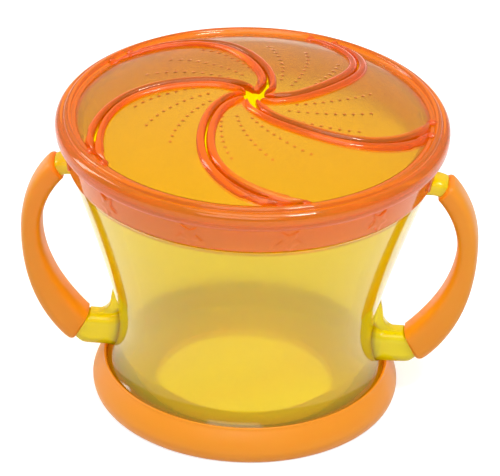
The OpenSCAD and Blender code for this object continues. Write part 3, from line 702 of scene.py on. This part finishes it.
sectorSkin = fuse("membrane_flap", [sectorShell(membraneSizes), dotShells(membraneSizes)])
skinPoints = pointsOf(sectorSkin)
skinR = np.hypot(skinPoints[:, 0], skinPoints[:, 1])
raised = skinPoints[:, 2] - domeZ(skinR)
fromSlit = np.mod(np.arctan2(skinPoints[:, 1], skinPoints[:, 0]) - slitAngle(skinR), 2 * np.pi)
fromSlit = np.minimum(fromSlit, sectorAngle - fromSlit)
alongSlit = fromSlit < across(skinR, halfGap(skinR) + 0.98 * membraneSizes["beadW"])
addValues(sectorSkin, "bead", np.maximum(ease(raised / membraneSizes["edgeSoft"]), alongSlit))
for k in range(membraneSizes["flaps"]):
    # the same skin turned on to each flap's place
    skin = sectorSkin.copy()
    skin.vertices.foreach_set("co", turnedBy(skinPoints, k * sectorAngle).ravel())
    sector = finishPiece(f"membrane_flap_{k + 1}", skin, membraneSoft, [f"flap_{k + 1}"],
                         creaseDeg=60)
    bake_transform(sector)


def tongueProfile(s):
    # the membrane's outer edge: a tongue held in the lid ring's groove
    gap = s["fitGap"]
    return rounded([(s["boreR"] - gap, domeZ(s["boreR"]) - 0.3 * mm, 0),
                    (s["boreR"] - gap, s["tongueTop"] - gap, 0),
                    (s["tongueR"] - gap, s["tongueTop"] - gap, 0.2 * mm),
                    (s["tongueR"] - gap, s["tongueZ"] + gap, 0.2 * mm),
                    (s["flangeR"] + gap, s["tongueZ"] + gap, 0)])


def beadEnds(m):
    # each bead ends in a low round nub on the ring's inner band: half an ellipsoid with its length
    # along the radius, on both sides of every slit
    e = np.radians([0, 0, 15, 30, 45, 60, 75, 90])[:, None]
    a = np.linspace(0, 2 * np.pi, 20, endpoint=False)
    wide = np.where(np.arange(len(e)) == 0, 0, 1)[:, None] * np.cos(e)      # the first row is one point
    along, aside = m["nubL"] / 2 * wide * np.cos(a), m["beadW"] / 2 * wide * np.sin(a)
    z = lidSizes["rimZ"] - m["nubSunk"] + (m["beadH"] + m["nubSunk"]) * np.sin(e) + 0 * along
    slit = slitAngle(m["nubR"]) + sectorAngle * np.arange(m["flaps"])[:, None]
    turn = (slit + across(m["nubR"], m["beadW"] / 2) * np.array([-1, 1])).reshape(-1, 1, 1)
    r = m["nubR"] + along
    points = np.stack([r * np.cos(turn) - aside * np.sin(turn), r * np.sin(turn) + aside * np.cos(turn),
                       z + 0 * turn], -1)
    faces = gridFaces(*z.shape, wrapColumns=True) + z.size * np.arange(len(turn))[:, None, None]
    return points, faces.reshape(-1, 4)


tongue = makePiece("membrane_tongue", [turned(tongueProfile(lidSizes)), beadEnds(membraneSizes)],
                   membraneSoft, ["flap_border"])
addValues(tongue.data, "bead", np.ones(len(tongue.data.vertices)))
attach(tongue, "lid_body")


# Floor, light and camera
stageSizes = {"floorHalf": 12.0, "paper": "CCCCCC", "floorLift": 0.65, "worldLight": 0.56}


def seenRay(tree):
    # 1 for what the camera sees straight, in a gloss or through the plastic, else 0
    path = addNode(tree, "ShaderNodeLightPath")
    first = addNode(tree, "ShaderNodeMath", {"operation": "MAXIMUM"},
                    {0: path.outputs["Is Camera Ray"], 1: path.outputs["Is Glossy Ray"]})
    return addNode(tree, "ShaderNodeMath", {"operation": "MAXIMUM"},
                   {0: first.outputs[0], 1: path.outputs["Is Transmission Ray"]}).outputs[0]


# Matt white paper, lifted to white where it is seen, so that only the soft shadow stays
def whiteFloor():
    material, tree = newMaterial("white_paper")
    paper = addNode(tree, "ShaderNodeBsdfDiffuse", {"Color": hexColour(stageSizes["paper"])})
    strength = addNode(tree, "ShaderNodeMath", {"operation": "MULTIPLY", 1: stageSizes["floorLift"]},
                       {0: seenRay(tree)})
    glow = addNode(tree, "ShaderNodeEmission", {"Color": (1, 1, 1, 1)}, {"Strength": strength.outputs[0]})
    both = addNode(tree, "ShaderNodeAddShader", (), {0: paper.outputs[0], 1: glow.outputs[0]})
    addNode(tree, "ShaderNodeOutputMaterial", (), {"Surface": both.outputs[0]})
    return material


half = stageSizes["floorHalf"]
floorCorners = [(-half, -half, 0), (half, -half, 0), (half, half, 0), (-half, half, 0)]
floorMesh = bpy.data.meshes.new("floor")
floorMesh.from_pydata(floorCorners, [], [(0, 1, 2, 3)])
floorMesh.materials.append(whiteFloor())
floor = bpy.data.objects.new("floor", floorMesh)
bpy.context.scene.collection.objects.link(floor)

world = bpy.data.worlds.new("studio")
bpy.context.scene.world = world
world.use_nodes = True
world.node_tree.nodes.clear()
sky = addNode(world.node_tree, "ShaderNodeBackground",
              {"Color": (1, 1, 1, 1), "Strength": stageSizes["worldLight"]})
addNode(world.node_tree, "ShaderNodeOutputWorld", (), {"Surface": sky.outputs[0]})

# Soft boxes round the object: degrees from +X and up from the table, metres and watts
lampAim = (0, 0, 45 * mm)
lamps = {
    "side_box": {"azimuth": 165, "elevation": 30, "distance": 0.7, "size": (0.14, 0.5), "watts": 1.6},
    "front_box": {"azimuth": -48, "elevation": 58, "distance": 0.8, "size": (0.17, 0.07), "watts": 2.2},
    "front_fill": {"azimuth": -95, "elevation": 40, "distance": 1.2, "size": (0.8, 0.5), "watts": 3.2},
    "top_box": {"azimuth": -75, "elevation": 78, "distance": 1.2, "size": (0.8, 0.8), "watts": 5.0},
}

# The camera's place was worked out from the photograph's ellipses
cameraSizes = {"azimuth": -87, "elevation": 30.41, "roll": 1.87, "distance": 1.1,
               "target": (0.21 * mm, 0.01 * mm, 43.63 * mm), "lens": 308.87, "sensor": 36}


def standRound(name, data, target, where, rollDeg=0):
    # puts a lamp or camera on a sphere round the target, looking at it, turned about its own axis
    a, e, roll = np.radians([where["azimuth"], where["elevation"], rollDeg])
    back = np.array([np.cos(e) * np.cos(a), np.cos(e) * np.sin(a), np.sin(e)])
    right = np.cross([0, 0, 1], back)
    right /= np.linalg.norm(right)
    up = np.cross(back, right)
    columns = np.column_stack([np.cos(roll) * right + np.sin(roll) * up,
                               np.cos(roll) * up - np.sin(roll) * right,
                               back, np.array(target) + where["distance"] * back])
    holder = bpy.data.objects.new(name, data)
    holder.matrix_world = Matrix(np.vstack([columns, [0, 0, 0, 1]]))
    bpy.context.scene.collection.objects.link(holder)
    return holder


for lampName, lamp in lamps.items():
    light = bpy.data.lights.new(lampName, "AREA")
    light.shape, light.energy = "RECTANGLE", lamp["watts"]
    light.size, light.size_y = lamp["size"]
    standRound(lampName, light, lampAim, lamp)

view = bpy.data.cameras.new("camera")
view.lens, view.sensor_width, view.sensor_fit = cameraSizes["lens"], cameraSizes["sensor"], "HORIZONTAL"
bpy.context.scene.camera = standRound("camera", view, cameraSizes["target"], cameraSizes,
                                      cameraSizes["roll"])
bpy.context.scene.view_settings.view_transform = "Standard"
print("stage, lamps and camera placed")
